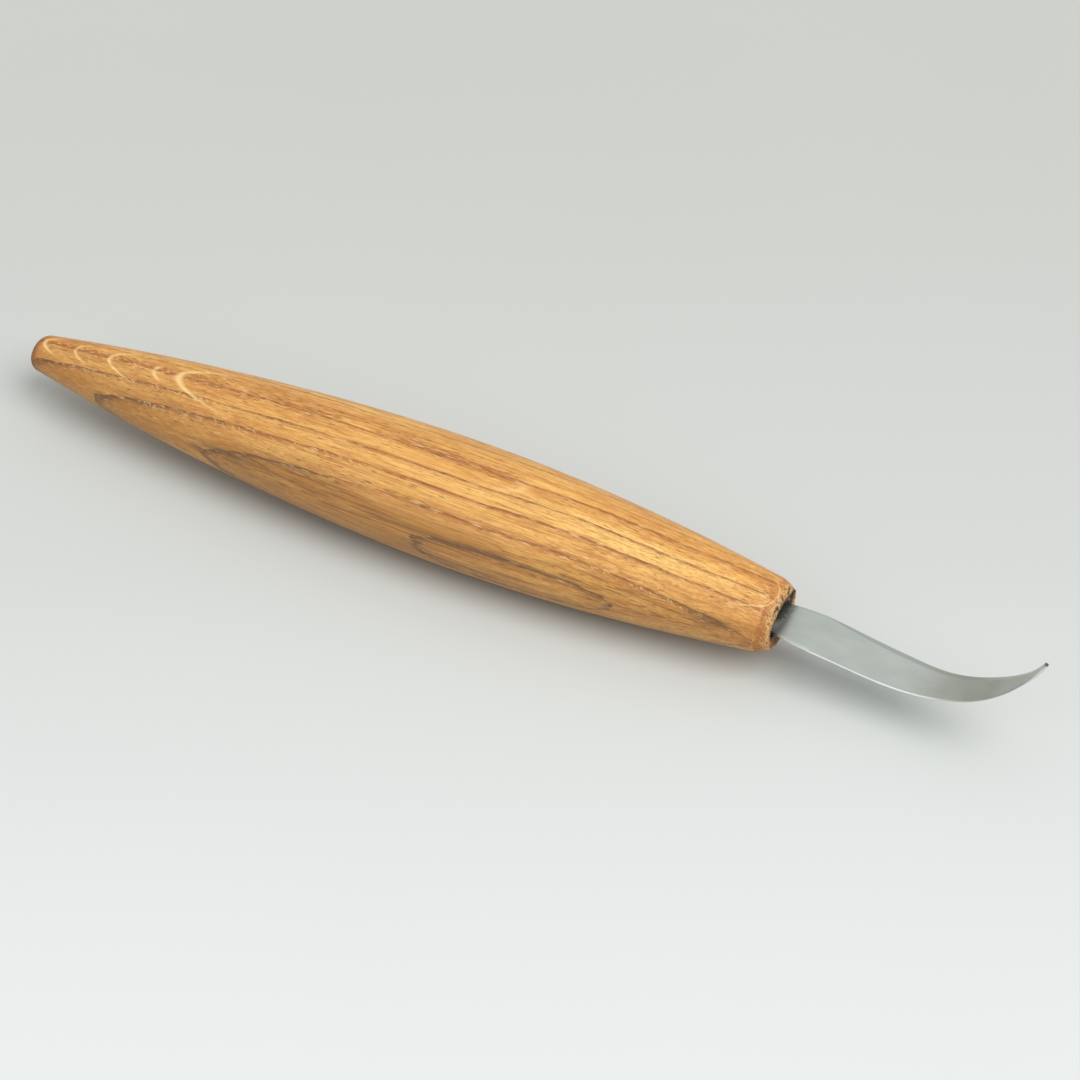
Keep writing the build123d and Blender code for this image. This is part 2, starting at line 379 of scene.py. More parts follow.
def grip_rows(turn):
    """The grip from the butt to the chamfer, with hollows along its rings and small dents."""
    profile = handle_profile()
    at, turn = np.meshgrid(profile[:, 0], turn, indexing="ij")
    radius = np.repeat(profile[:, 1:2], HANDLE_COLUMNS, 1)
    y, z = oval(radius, turn)
    ring = ring_coordinate(at, y, z)
    inward = SANDING_LOSS * (1 + wobble(at, y, z, (38, 11, 11), 5.5))
    inward += RING_HOLLOW * ring_band(ring) * (0.7 + 0.3 * wobble(at, y, z, (5, 1.5, 1.5), 1.3))
    for dent_at, angle, size, depth in DENTS:
        gap = np.hypot(at - dent_at, radius * (turn - math.radians(angle)))
        inward += depth * np.exp(-((gap / size) ** 2))
    inward *= smoothstep(0, 4, at) * smoothstep(0, 2.5, radius)
    end_grain = np.clip(1 - at / BUTT_END_GRAIN, 0, 1)
    # Painted shade on the butt's end
    grime_and_painted_shade = BUTT_PAINTED_SHADE * (1 - smoothstep(0, 2.6, at))
    return wood_rows(at, *oval(radius - inward, turn), end_grain, 0, grime_and_painted_shade)


def chamfer_rows(turn, start_radius):
    """The filed chamfer, which gets rougher towards its worn crest."""
    rows = []
    for t in np.linspace(0, 1, CHAMFER_ROWS)[1:]:
        at = CHAMFER_START + t * (HANDLE_LENGTH - CREST_SETBACK - CHAMFER_START)
        radius = start_radius + t * (FRONT_RADIUS - start_radius)
        radius = radius + CHAMFER_SWELL * math.sin(math.pi * t)
        y, z = oval(radius, turn)
        rough = wobble(at, y, z, (1.3, 0.9, 0.9), 2.2)
        rough += 0.6 * wobble(at, y, z, (0.7, 0.45, 0.45), 9.2)
        filed = (0.03 + 0.26 * t**2) * np.clip(0.7 + rough, 0, 2)
        lost = np.clip(0.6 + 1.4 * wobble(at, y, z, (3, 1.6, 1.6), 6.1), 0, 1.6)
        near_crest = t + 0.26 * wobble(at, y, z, (2.4, 2.6, 2.6), 3.7)
        brown = smoothstep(0.0, 0.20, near_crest) - 0.5 * smoothstep(0.50, 0.90, near_crest)
        # Browner towards the near side, partly painted shade
        brown *= (
            0.50 + 0.50 * smoothstep(-0.3, 0.8, -np.cos(turn))
            + 0.25 * wobble(at, y, z, (3, 1.5, 1.5), 5.2)
        )
        grime_and_painted_shade = CREST_DIRT * smoothstep(0.66, 1, near_crest) * np.clip(0.9 + rough, 0, 1.6)
        grime_and_painted_shade *= 0.35 + 0.65 * smoothstep(-0.3, 0.8, np.cos(turn - math.radians(70)))
        rows.append(wood_rows(
            at - CREST_LOSS * t**3 * lost, *oval(radius - filed, turn),
            brown, smoothstep(0.34, 0.95, near_crest), grime_and_painted_shade,
        ))
    return np.concatenate(rows)


def slot_mouth(direction):
    """The slot's ragged mouth, pinched at its far corner and raised above its middle."""
    y, z = slot_reach(direction) * (np.cos(direction), np.sin(direction))
    y = y - 0.8 * np.exp(-(((direction - 0.36) / 0.16) ** 2))
    ragged = 1 + 0.10 * np.clip(wobble(0, y, z, (1, 1.3, 1.0), 4.4), -0.3, 1)
    return y * ragged, z * (ragged + 0.16 * (z > 0) * np.exp(-((y / 4) ** 2)))


def face_rows(rim, mouth_y, mouth_z):
    """The sawn end face, from the chamfer's crest to the slot's mouth."""
    rows = []
    for t in np.linspace(0, 1, FACE_ROWS)[1:]:
        y = rim[:, 1] + t * (mouth_y - rim[:, 1])
        z = rim[:, 2] + t * (mouth_z - rim[:, 2])
        chip = blob(y, z, *CHIP)
        ridge = blob(y + RIDGE_LEAN * (z - 0.5), z, *RIDGE)
        sunk = SCOOP_DEPTH * blob(y, z, *SCOOP) + CHIP_DEPTH * chip - RIDGE_HEIGHT * ridge
        sunk = np.maximum(sunk + MOUTH_SINK * smoothstep(0.1, 1, t), 0.1)
        rough = wobble(0, y, z, (1, 0.8, 0.8), 7.3) + 0.7 * wobble(0, y, z, (1, 0.35, 0.35), 1.9)
        rough = SAW_ROUGHNESS * np.clip(rough + 0.5, 0, 2) * smoothstep(0, 0.12, t)
        crumble = (1 - 0.6 * smoothstep(0, 0.5, t)) * (0.35 + 0.65 * smoothstep(-3.2, -0.8, z))
        # Painted shadow round the slot's mouth, deeper in towards it and on the face's lower part;
        # the face is also darker in the chip and higher up, and lighter on the ridge
        painted_mouth_shadow = 1 - smoothstep(0.1, 1.5, np.hypot(y - mouth_y, z - mouth_z))
        upper_face_darkening = smoothstep(-0.5, 1.5, z) * smoothstep(0.05, 0.35, t)
        low = (1 - smoothstep(-3.5, -1.2, z)) * smoothstep(0, 0.15, t)
        grime_and_painted_shade = 0.85 * painted_mouth_shadow + 1.3 * chip + 0.5 * upper_face_darkening + 0.35 * t + 0.30 * low - 1.1 * ridge
        at = HANDLE_LENGTH - (SAW_DEPTH + sunk + rough)
        rows.append(wood_rows(at, y, z, 1, crumble, np.clip(grime_and_painted_shade, 0.03, 1)))
    return np.concatenate(rows)


def slot_rows(lip, direction):
    """The slot's walls, from the ragged mouth down to the bottom."""
    wall_y, wall_z = slot_reach(direction) * (np.cos(direction), np.sin(direction))
    rows = []
    for depth in SLOT_STEPS:
        t = smoothstep(0, 2.2, depth)
        at = HANDLE_LENGTH - depth
        if depth < MOUTH_DEPTH:
            at = np.minimum(lip[:, 0] - 0.6 * depth, at)
        y = lip[:, 1] + t * (wall_y - lip[:, 1])
        z = lip[:, 2] + t * (wall_z - lip[:, 2])
        # The slot's walls are painted fully dark: painted shadow
        rows.append(wood_rows(at, y, z, 0.5, 0, 1))
    return np.concatenate(rows)


def build_handle():
    """The wooden handle: one closed skin from the butt to the bottom of the slot."""
    turn = np.arange(HANDLE_COLUMNS) / HANDLE_COLUMNS * 2 * math.pi
    direction = np.arctan2(HEIGHT_OVER_WIDTH * np.sin(turn), np.cos(turn))
    grip = grip_rows(turn)
    chamfer = chamfer_rows(turn, np.hypot(grip[-1, :, 1], grip[-1, :, 2] / HEIGHT_OVER_WIDTH))
    face = face_rows(chamfer[-1], *slot_mouth(direction))
    grid = np.concatenate([grip, chamfer, face, slot_rows(face[-1], direction)])
    # The slot's bottom is painted fully dark too: painted shadow
    poles = ((0, 0, 0, 1, 0, 0), (HANDLE_LENGTH - SLOT_DEPTH, 0, 0, 1, 0, 1))
    everything = np.concatenate([grid.reshape(-1, grid.shape[-1]), poles])
    faces = grid_faces(len(grid), HANDLE_COLUMNS)
    butt_pole = len(everything) - len(poles)
    slot_pole, last_row = butt_pole + 1, butt_pole - HANDLE_COLUMNS
    for k in range(HANDLE_COLUMNS):
        n = (k + 1) % HANDLE_COLUMNS
        faces.append((butt_pole, n, k))
        faces.append((slot_pole, last_row + k, last_row + n))

    at, y, z, end_grain, crumble, grime_and_painted_shade = everything.T
    ray = (z - RAY_TILT * y) / math.hypot(1, RAY_TILT)
    attributes = {
        "ring": ring_coordinate(at, y, z),
        "ray": ray + 0.05 * wobble(at, y, z, (14, 5, 5), 6.6),
        **wood_character(at, y, z),
        "end_grain": end_grain,
        "crumble": crumble,
        "grime_and_painted_shade": grime_and_painted_shade,
    }
    points = everything[:, :3] + (BUTT_X, 0, AXIS_Z)
    return add_mesh("handle_wood", points, faces, attributes)


# ----------------------------------------------------------------- blade shape

def circle_through(p, q, r):
    """Middle and radius of the circle through three points."""
    (ax, ay), (bx, by), (cx, cy) = p, q, r
    a2, b2, c2 = ax**2 + ay**2, bx**2 + by**2, cx**2 + cy**2
    d = 2 * (ax * (by - cy) + bx * (cy - ay) + cx * (ay - by))
    x = (a2 * (by - cy) + b2 * (cy - ay) + c2 * (ay - by)) / d
    y = (a2 * (cx - bx) + b2 * (ax - cx) + c2 * (bx - ax)) / d
    return x, y, math.hypot(ax - x, ay - y)


SHOULDER_X, SHOULDER_Y, SHOULDER_RADIUS = circle_through(*SHOULDER)


def shoulder_side(s):
    """Back side of the rounded shoulder, at a distance from the handle's face."""
    return math.sqrt(max(SHOULDER_RADIUS**2 - (s - SHOULDER_X) ** 2, 0.0)) - SHOULDER_Y


def section_table():
    """Ground sections at fine steps along the strip: the distances, and each size at them."""
    rows = np.array(GROUND_SECTIONS, float)
    fine = np.linspace(rows[0, 0], rows[-1, 0], 400)
    columns = []
    for column in rows[:, 1:].T:
        curve, _ = spline(np.stack([rows[:, 0], np.zeros(len(rows)), column], -1))
        columns.append(curve(fine - rows[0, 0])[:, 2])
    return fine, np.array(columns)


SECTION_AT, SECTION_COLUMNS = section_table()


def blade_outline(s):
    """Section sizes at a distance along the strip, in the order of GROUND_SECTIONS."""
    if s >= GROUND_START:
        sizes = [float(np.interp(s, SECTION_AT, column)) for column in SECTION_COLUMNS]
    elif s > -NECK_SETBACK:
        rise = (s + NECK_SETBACK) / (GROUND_START + NECK_SETBACK)
        back, front = shoulder_side(s), NECK_SIDE + rise * (FRONT_SIDE - NECK_SIDE)
        sizes = [STEEL, back, front, back + SHANK_BEVEL - BACK_SIDE, PLAIN_BEVEL, PLAIN_BEVEL]
    else:
        taper = (-s - NECK_SETBACK) / (TANG_LENGTH - NECK_SETBACK)
        side = NECK_SIDE + taper * (TANG_END_SIDE - NECK_SIDE)
        for setback in NOTCH_SETBACKS:
            side -= math.sqrt(max(0.0, NOTCH_RADIUS**2 - (s + setback) ** 2))
        sizes = [STEEL, side, side, PLAIN_BEVEL, PLAIN_BEVEL, PLAIN_BEVEL]
    nose = s - NOSE_START
    if nose > 0:
        half = math.sqrt(max(TIP_RADIUS**2 - nose**2, 0.0))
        sizes[1] = min(sizes[1], half - TIP_MIDDLE)
        sizes[2] = min(sizes[2], half + TIP_MIDDLE)
    width = sizes[1] + sizes[2]
    sizes[3:] = [
        min(max(bevel, LEAST_BEVEL), share * width)
        for bevel, share in zip(sizes[3:], BEVEL_SHARES)
    ]
    return sizes


def section_points(thickness, back, front, back_bevel, front_bevel, inner_bevel):
    """Points round one section, from the back's top corner down, and which are crisp lines."""
    half = STEEL / 2
    under = half - thickness
    width = back + front
    facet = min(EDGE_FACET, 0.25 * width, 0.25 * thickness)
    front_top = half - INNER_SLOPE * inner_bevel
    front_bottom = min(under + FRONT_SLOPE * front_bevel, front_top - EDGE_LAND)
    back_top = half - facet
    back_bottom = max(min(under + BACK_SLOPE * back_bevel, back_top - 0.05), back_top - 0.12)
    # Corners: distance across the blade, height in the steel, points up to the next corner
    corners = [
        (-back, back_top, 3),
        (-back, back_bottom, 5),
        (back_bevel - back, under, 8),
        (front - front_bevel, under, 6),
        (front, front_bottom, 2),
        (front, front_top, 4),
        (front - inner_bevel, half, 12),
    ]
    points = [
        (-back + facet * (1 - share), half - facet * share) for share in (0, 1 / 3, 2 / 3)
    ]
    crisp = [0]
    for (y1, z1, count), (y2, z2, _) in zip(corners, corners[1:] + [(-back + facet, half, 0)]):
        crisp.append(len(points))
        points += [(y1 + (y2 - y1) * k / count, z1 + (z2 - z1) * k / count) for k in range(count)]
    return points, crisp


def blade_stops():
    """Distances of the blade's sections along the strip: close at notches, shoulder and tip."""
    stops = [-TANG_LENGTH, -TANG_LENGTH + 0.2, *np.linspace(-NECK_SETBACK, GROUND_START, 26)]
    stops += [
        s for s in np.linspace(-TANG_LENGTH + 2, -NECK_SETBACK, 24)
        if all(abs(s + setback) > NOTCH_RADIUS + 0.25 for setback in NOTCH_SETBACKS)
    ]
    for setback in NOTCH_SETBACKS:
        stops += [-setback + NOTCH_RADIUS * math.sin(math.radians(q)) for q in range(-90, 91, 12)]
    stops += list(np.linspace(GROUND_START, NOSE_START, 190)[1:])
    stops += [NOSE_START + TIP_RADIUS * math.sin(math.radians(q)) for q in range(8, 89, 8)]
    return sorted(set(round(float(s), 5) for s in stops))


def build_blade():
    """The blade: sections swept along the bent strip, from the tang's end to the tip."""
    curve, length = spline(HOOK_LINE)
    dense = curve(np.linspace(0, length, 6001))
    run = np.r_[0, np.cumsum(np.hypot(*np.diff(dense, axis=0).T))]
    tangent = np.gradient(dense, run, axis=0)
    stops = blade_stops()
    points, strip = [], []
    for s in stops:
        if s <= 0:
            place, heading = np.array([s, 0.0]), np.array([1.0, 0.0])
        else:
            place = np.array([np.interp(s, run, dense[:, k]) for k in range(2)])
            heading = np.array([np.interp(s, run, tangent[:, k]) for k in range(2)])
            heading /= np.hypot(*heading)
        section, crisp = section_points(*blade_outline(s))
        for v, w in section:
            x, z = place[0] - heading[1] * w, place[1] + heading[0] * w
            points.append((FRONT_X + x, v, AXIS_Z + z))
            strip.append((s, v, w))
    rows, columns = len(stops), len(section)
    faces = grid_faces(rows, columns)
    faces.append(tuple(range(columns)))
    faces.append(tuple(reversed(range((rows - 1) * columns, rows * columns))))
    sharp = {
        (row * columns + k, (row + 1) * columns + k)
        for row in range(rows - 1) if stops[row] >= GROUND_START for k in crisp
    }
    return add_mesh("hook_blade", points, faces, {"strip": np.array(strip)}, sharp)


# -------------------------------------------------------------------- materials

def set_ramp(ramp, stops, interpolation="LINEAR"):
    """Fill a colour ramp with stops, each a position and a colour or a grey value."""
    ramp.interpolation = interpolation
    while len(ramp.elements) < len(stops):
        ramp.elements.new(1)
    for element, (position, colour) in zip(ramp.elements, stops):
        element.position = position
        element.color = (*colour, 1) if hasattr(colour, "__len__") else (colour, colour, colour, 1)


class Nodes:
    """A small way of writing node trees: each method adds a node and returns its output."""

    def __init__(self, name):
        self.material = bpy.data.materials.new(name)
        self.material.use_nodes = True
        self.tree = self.material.node_tree
        self.tree.nodes.clear()
        self.output = self.node("OutputMaterial")
        self.shader = self.node("BsdfPrincipled")
        self.link(self.shader.outputs[0], self.output.inputs[0])

    def node(self, kind, **settings):
        made = self.tree.nodes.new("ShaderNode" + kind)
        for key, value in settings.items():
            setattr(made, key, value)
        return made

    def link(self, value, socket):
        """Link a node's output to a socket, or set the socket to a number or a colour."""
        if isinstance(value, bpy.types.NodeSocket):
            self.tree.links.new(value, socket)
        elif hasattr(value, "__len__") and len(socket.default_value) > len(value):
            socket.default_value = (*value, 1)
        else:
            socket.default_value = value

    def set(self, name, value):
        self.link(value, self.shader.inputs[name])

    def math(self, operation, a, b=0.0, clamp=False):
        made = self.node("Math", operation=operation, use_clamp=clamp)
        self.link(a, made.inputs[0])
        self.link(b, made.inputs[1])
        return made.outputs[0]

    def times(self, a, b):
        return self.math("MULTIPLY", a, b)

    def share(self, a, b):
        """A product held between 0 and 1, to mix by."""
        return self.math("MULTIPLY", a, b, clamp=True)

    def plus(self, a, b):
        return self.math("ADD", a, b)

    def most(self, a, b):
        return self.math("MAXIMUM", a, b)

    def swing(self, noise, size):
        """Noise about 0, made larger."""
        return self.times(self.plus(noise, -0.5), size)

    def step(self, value, low, high, to_low=0.0, to_high=1.0):
        """Smooth change from to_low to to_high while value goes from low to high."""
        made = self.node("MapRange", interpolation_type="SMOOTHSTEP")
        for socket, given in zip(made.inputs, (value, low, high, to_low, to_high)):
            self.link(given, socket)
        return made.outputs[0]

    def ramp(self, value, stops, interpolation="LINEAR"):
        made = self.node("ValToRGB")
        set_ramp(made.color_ramp, stops, interpolation)
        self.link(value, made.inputs[0])
        return made.outputs[0]

    def mix(self, factor, a, b, blend="MIX"):
        """Mix of two colours; a colour Mix node has them on its sockets 6 and 7."""
        made = self.node("Mix", data_type="RGBA", blend_type=blend)
        for index, value in ((0, factor), (6, a), (7, b)):
            self.link(value, made.inputs[index])
        return made.outputs[2]

    def scaled(self, vector, scale, move=(0, 0, 0)):
        made = self.node("Mapping")
        self.link(vector, made.inputs["Vector"])
        made.inputs["Location"].default_value = move
        made.inputs["Scale"].default_value = scale
        return made.outputs[0]

    def noise(self, vector, detail=3, roughness=0.6):
        made = self.node("TexNoise")
        self.link(vector, made.inputs["Vector"])
        made.inputs["Scale"].default_value = 1
        made.inputs["Detail"].default_value = detail
        made.inputs["Roughness"].default_value = roughness
        return made.outputs[0]

    def grain(self, vector, along, across, move=(0, 0, 0), detail=3, roughness=0.6):
        """Noise drawn out along X, from its fineness along and across."""
        return self.noise(self.scaled(vector, (along, across, across), move), detail, roughness)

    def cells(self, vector, along, across, move=(0, 0, 0)):
        """Distance to the nearest scattered point, and a random number for it."""
        made = self.node("TexVoronoi")
        self.link(self.scaled(vector, (along, across, across), move), made.inputs["Vector"])
        made.inputs["Scale"].default_value = 1
        made.inputs["Randomness"].default_value = 1
        return made.outputs["Distance"], self.split(made.outputs["Color"], "SeparateColor")[0]

    def split(self, value, kind="SeparateXYZ"):
        made = self.node(kind)
        self.link(value, made.inputs[0])
        return made.outputs

    def attribute(self, name, output="Fac"):
        return self.node("Attribute", attribute_name=name).outputs[output]

    def object_mm(self):
        return self.scaled(self.node("TexCoord").outputs["Object"], (1000, 1000, 1000))

    def bump(self, height, strength, distance):
        made = self.node("Bump")
        made.inputs["Strength"].default_value = strength
        made.inputs["Distance"].default_value = distance
        self.link(height, made.inputs["Height"])
        self.set("Normal", made.outputs[0])


WOOD_GROUND = (
    (0.30, (0.67, 0.288, 0.060)), (0.46, (0.78, 0.374, 0.083)),
    (0.56, (0.84, 0.436, 0.104)), (0.70, (0.89, 0.496, 0.128)),
)
GOLDEN_AND_HIGHLIGHT_WOOD, SHADED_WOOD = (0.99, 0.645, 0.200), (0.36, 0.155, 0.044)
DARK_STREAK, LIGHT_STREAK = (0.50, 0.200, 0.043), (0.96, 0.590, 0.180)
DARK_FIBRE, LIGHT_FIBRE = (0.48, 0.196, 0.044), (0.98, 0.650, 0.235)
DARK_HAIR = (0.42, 0.175, 0.042)
RED_BAND, NEAR_AND_SHADED_BAND = (0.42, 0.150, 0.032), (0.230, 0.105, 0.038)
RED_LINE, NEAR_AND_SHADED_LINE = (0.25, 0.088, 0.024), (0.110, 0.050, 0.024)
DARK_FEATHER, LIGHT_FEATHER = (0.40, 0.150, 0.034), (0.95, 0.620, 0.250)
OLIVE_STAIN = (0.170, 0.086, 0.040)
LONG_PORE, SMALL_PORE = (0.20, 0.078, 0.024), (0.27, 0.108, 0.034)
FILLED_PORE, LONG_LINE = (0.97, 0.690, 0.330), (0.20, 0.092, 0.030)
RAY_FLECK = (0.98, 0.680, 0.300)
END_GRAIN, TORN_WOOD, PIT = (0.36, 0.125, 0.032), (0.83, 0.550, 0.250), (0.13, 0.052, 0.020)
BROWN_GRIME_AND_SHADE, BLACK_GRIME_AND_SHADOW = (0.140, 0.075, 0.042), (0.040, 0.036, 0.032)
LINE_PROFILE = ((0.0, 0.0), (0.020, 1.0), (0.090, 0.75), (0.190, 0.0))
FEATHER_PROFILE = ((0.0, 0.0), (0.05, 1.0), (0.14, 0.8), (0.32, 0.0))
# Where the red patches turn from feathered to dashed, and from which ring and which depth of
# painted shade on the wood counts as the near side's
DASHES_FROM, DASHES_FULL = 54, 62
NEAR_RINGS, NEAR_SHADES = (8.5, 9.0), (0.45, 0.85)


def wood_material():
    """Oiled ring-porous hardwood, as a solid texture with its grain along X."""
    m = Nodes("oiled_hardwood")
    mm = m.object_mm()
    ring, ray, tone_and_painted_shade, red = (m.attribute(name) for name in ("ring", "ray", "tone_and_painted_shade", "red"))
    end_grain, crumble, grime_and_painted_shade = (m.attribute(name) for name in ("end_grain", "crumble", "grime_and_painted_shade"))

    # Ground colour, in long soft streaks
    broad = m.grain(mm, 0.014, 0.28, detail=2, roughness=0.5)
    streaks = m.grain(mm, 0.022, 0.85, (3, 7, 1), roughness=0.65)
    fibres = m.grain(mm, 0.075, 2.6, (9, 2, 5), roughness=0.7)
    hairs = m.grain(mm, 0.16, 6.5, (2, 8, 3), detail=2, roughness=0.7)
    colour = m.ramp(broad, WOOD_GROUND)
    # Golden patches, partly a painted highlight on the top
    colour = m.mix(m.share(m.attribute("golden_and_painted_highlight"), 0.62), colour, GOLDEN_AND_HIGHLIGHT_WOOD)
    colour = m.mix(m.step(streaks, 0.48, 0.66, 0, 0.64), colour, DARK_STREAK)
    colour = m.mix(m.step(streaks, 0.34, 0.46, 0.34, 0), colour, LIGHT_STREAK)
    colour = m.mix(m.step(fibres, 0.38, 0.50, 0.68, 0), colour, DARK_FIBRE)
    colour = m.mix(m.step(fibres, 0.52, 0.64, 0, 0.38), colour, LIGHT_FIBRE)
    colour = m.mix(m.step(hairs, 0.38, 0.52, 0.48, 0), colour, DARK_HAIR)
    # Painted shade, with a darker tone, mixed in towards a shaded brown
    colour = m.mix(m.share(tone_and_painted_shade, 0.50), colour, SHADED_WOOD)

    # Growth rings: each starts with a porous band that fades into dense wood. The bands are
    # reddish on top, and darker brown in the inner rings and, as painted shade, on the near side.
    fine_wave = m.grain(mm, 0.07, 0.8, (1, 1, 8))
    ring = m.plus(ring, m.swing(fine_wave, 0.15))
    part = m.math("FRACT", ring)
    count = len(RING_EDGES) - 1
    place = m.times(ring, 1 / count)
    strength, width, fineness = (
        m.ramp(place, [(k / count, value) for k, value in enumerate(values)], "CONSTANT")
        for values in (RING_STRENGTH, RING_WIDTH, RING_FINENESS)
    )
    patchy = m.grain(mm, 0.040, 0.6, (4, 4, 4))
    dashes = m.grain(mm, 0.22, 2.1, (7, 1, 4), detail=2)
    band = m.math("POWER", math.e, m.math("DIVIDE", m.times(part, -1.0), width))
    band = m.times(m.times(band, strength), m.step(part, 0.0, 0.02))
    band = m.times(band, m.step(patchy, 0.30, 0.60, 0.55, 1.15))
    x, y, z = m.split(mm)
    lean = m.node("CombineXYZ")
    m.link(m.plus(x, m.times(ring, -5.0)), lean.inputs[0])
    m.link(m.times(y, 0.9), lean.inputs[1])
    m.link(m.times(z, 0.9), lean.inputs[2])
    feather = m.noise(lean.outputs[0], detail=2)
    broken = m.mix(m.step(x, BUTT_X + DASHES_FROM, BUTT_X + DASHES_FULL), feather, dashes)
    blotch = m.times(m.step(patchy, 0.28, 0.48, 0.60, 1.0), m.step(broken, 0.42, 0.58, 1.0, 0.42))
    band = m.most(band, m.times(m.times(red, blotch), 1.3))
    near_side = m.most(m.step(ring, *NEAR_RINGS), m.step(tone_and_painted_shade, *NEAR_SHADES))
    colour = m.mix(m.share(band, 0.88), colour, m.mix(near_side, RED_BAND, NEAR_AND_SHADED_BAND))

    # A thin dark line at each ring's start, light and dark feathering beside it, and stains
    line = m.ramp(m.times(part, fineness), LINE_PROFILE)
    line = m.times(m.times(line, strength), m.step(patchy, 0.30, 0.54, 0.55, 1.0))
    line = m.times(line, m.step(dashes, 0.42, 0.60, 1.0, 0.40))
    colour = m.mix(m.times(line, 0.90), colour, m.mix(near_side, RED_LINE, NEAR_AND_SHADED_LINE))
    feathery = m.times(m.attribute("feathery"), m.ramp(part, FEATHER_PROFILE))
    light, dark = m.step(feather, 0.54, 0.64, 0, 0.50), m.step(feather, 0.34, 0.44, 0.45, 0)
    colour = m.mix(m.times(feathery, light), colour, LIGHT_FEATHER)
    colour = m.mix(m.times(feathery, dark), colour, DARK_FEATHER)
    stain = m.times(m.attribute("olive"), m.step(dashes, 0.36, 0.60, 1.0, 0.60))
    colour = m.mix(m.share(stain, 0.85), colour, OLIVE_STAIN)

    # Pores: long dashes, thick in the bands and scattered elsewhere; some are filled and pale
    def scatter(along, across, move, solid, edge, crowd):
        gap, chance = m.cells(mm, along, across, move)
        return m.times(m.step(gap, solid, edge, 1, 0), m.math("LESS_THAN", chance, crowd))

    pores = scatter(0.26, 2.3, (0, 0, 0), 0.16, 0.40, m.plus(m.times(band, 1.15), 0.02))
    small = scatter(0.50, 4.2, (7, 3, 2), 0.16, 0.40, m.plus(m.times(band, 0.80), 0.20))
    filled = scatter(0.17, 2.6, (5, 9, 4), 0.10, 0.42, m.times(band, 0.95))
    colour = m.mix(m.times(pores, 0.70), colour, LONG_PORE)
    colour = m.mix(m.times(small, 0.42), colour, SMALL_PORE)
    # Pale filled pores are fainter under the painted shade
    colour = m.mix(m.times(filled, m.step(tone_and_painted_shade, 0.2, 0.9, 0.60, 0.40)), colour, FILLED_PORE)

    # Long thin dark lines on the near side
    lines = m.step(m.grain(mm, 0.016, 1.55, (6, 3, 9), roughness=0.55), 0.52, 0.62)
    lines = m.times(lines, m.attribute("streaky"))
    colour = m.mix(m.times(lines, 0.62), colour, LONG_LINE)

    # Rays: pale flecks where the surface lies along the sheets
    sheets = []
    for height, thickness in RAYS:
        sheets += [(height - thickness, 0.0), (height, 1.0), (height + thickness, 0.0)]
    fleck = m.ramp(m.times(ray, 1 / RAY_REACH), [(at / RAY_REACH, value) for at, value in sheets])
    fleck = m.times(fleck, m.attribute("ray_shows"))
    fleck = m.times(fleck, m.step(dashes, 0.34, 0.52, 0.62, 1.0))
    colour = m.mix(m.times(fleck, 0.85), colour, RAY_FLECK)

    # Ends: brown where the grain stands on end, torn, pitted and grimy at the crest, with painted
    # shadow in the slot's mouth and the slot and painted shade at the butt's end
    specks = m.grain(mm, 1.6, 2.6, (8, 8, 1), roughness=0.7)
    soft_specks = m.grain(mm, 0.7, 1.5, (3, 6, 2), roughness=0.65)
    whole = m.plus(m.times(fleck, -0.8), 1.0)
    end_grain, crumble = m.times(end_grain, whole), m.times(crumble, whole)
    brown = m.times(end_grain, m.step(soft_specks, 0.36, 0.60, 0.92, 0.56))
    colour = m.mix(brown, colour, END_GRAIN)
    colour = m.mix(m.times(crumble, m.step(specks, 0.44, 0.58, 0, 0.9)), colour, TORN_WOOD)
    colour = m.mix(m.times(crumble, m.step(specks, 0.36, 0.46, 0.85, 0)), colour, PIT)
    # Grime and painted shadow: brown, and black where deepest, as in the slot's mouth
    grime_and_shade_level = m.plus(m.times(grime_and_painted_shade, 1.5), m.plus(m.swing(specks, 1.4), m.swing(soft_specks, 2.2)))
    has_grime_and_shade = m.math("GREATER_THAN", grime_and_painted_shade, 0.02)
    colour = m.mix(m.times(m.step(grime_and_shade_level, 0.20, 0.80, 0, 0.75), has_grime_and_shade), colour, BROWN_GRIME_AND_SHADE)
    colour = m.mix(m.times(m.step(grime_and_shade_level, 0.55, 1.25), has_grime_and_shade), colour, BLACK_GRIME_AND_SHADOW)
    m.set("Base Color", colour)

    rough = m.plus(m.times(streaks, 0.14), 0.36)
    rough = m.plus(rough, m.times(pores, 0.18))
    rough = m.plus(rough, m.times(m.most(end_grain, grime_and_painted_shade), 0.30))
    m.set("Roughness", m.math("MINIMUM", rough, 0.95))
    height = m.times(fibres, 0.50)
    torn = m.times(crumble, specks)
    for layer, size in ((pores, -0.7), (small, -0.40), (line, -0.35), (torn, 1.6)):
        height = m.plus(height, m.times(layer, size))
    m.bump(height, 0.55, 0.00018)
    m.set("IOR", 1.47)
    m.set("Coat Weight", 0.08)
    m.set("Coat Roughness", 0.32)
    return m.material


STEEL_CLOUDS = ((0.30, (0.56, 0.580, 0.550)), (0.70, (0.62, 0.645, 0.615)))
GRINDING_LINE, SCUFF, WARM_PAINTED_REFLECTION = (0.44, 0.45, 0.42), (0.42, 0.43, 0.40), (0.52, 0.520, 0.475)
PAINTED_GLINT, SOOT, DARK_TIP_END = (0.86, 0.88, 0.86), (0.016, 0.018, 0.012), (0.050, 0.050, 0.040)
# Soot: from where to where it ends along the strip, and how it thins towards the near side.
# Dark tip end: how far from the tip it starts and is full.
SOOT_END, SOOT_SIDES, DARK_TIP_REACH = (-0.5, 1.7), (-5.8, -0.2), (0.36, 0.14)
# The small facet along the near edge: the height where it starts and is full in the steel
FACET_TOP, FACET_FULL = 0.735, 0.715
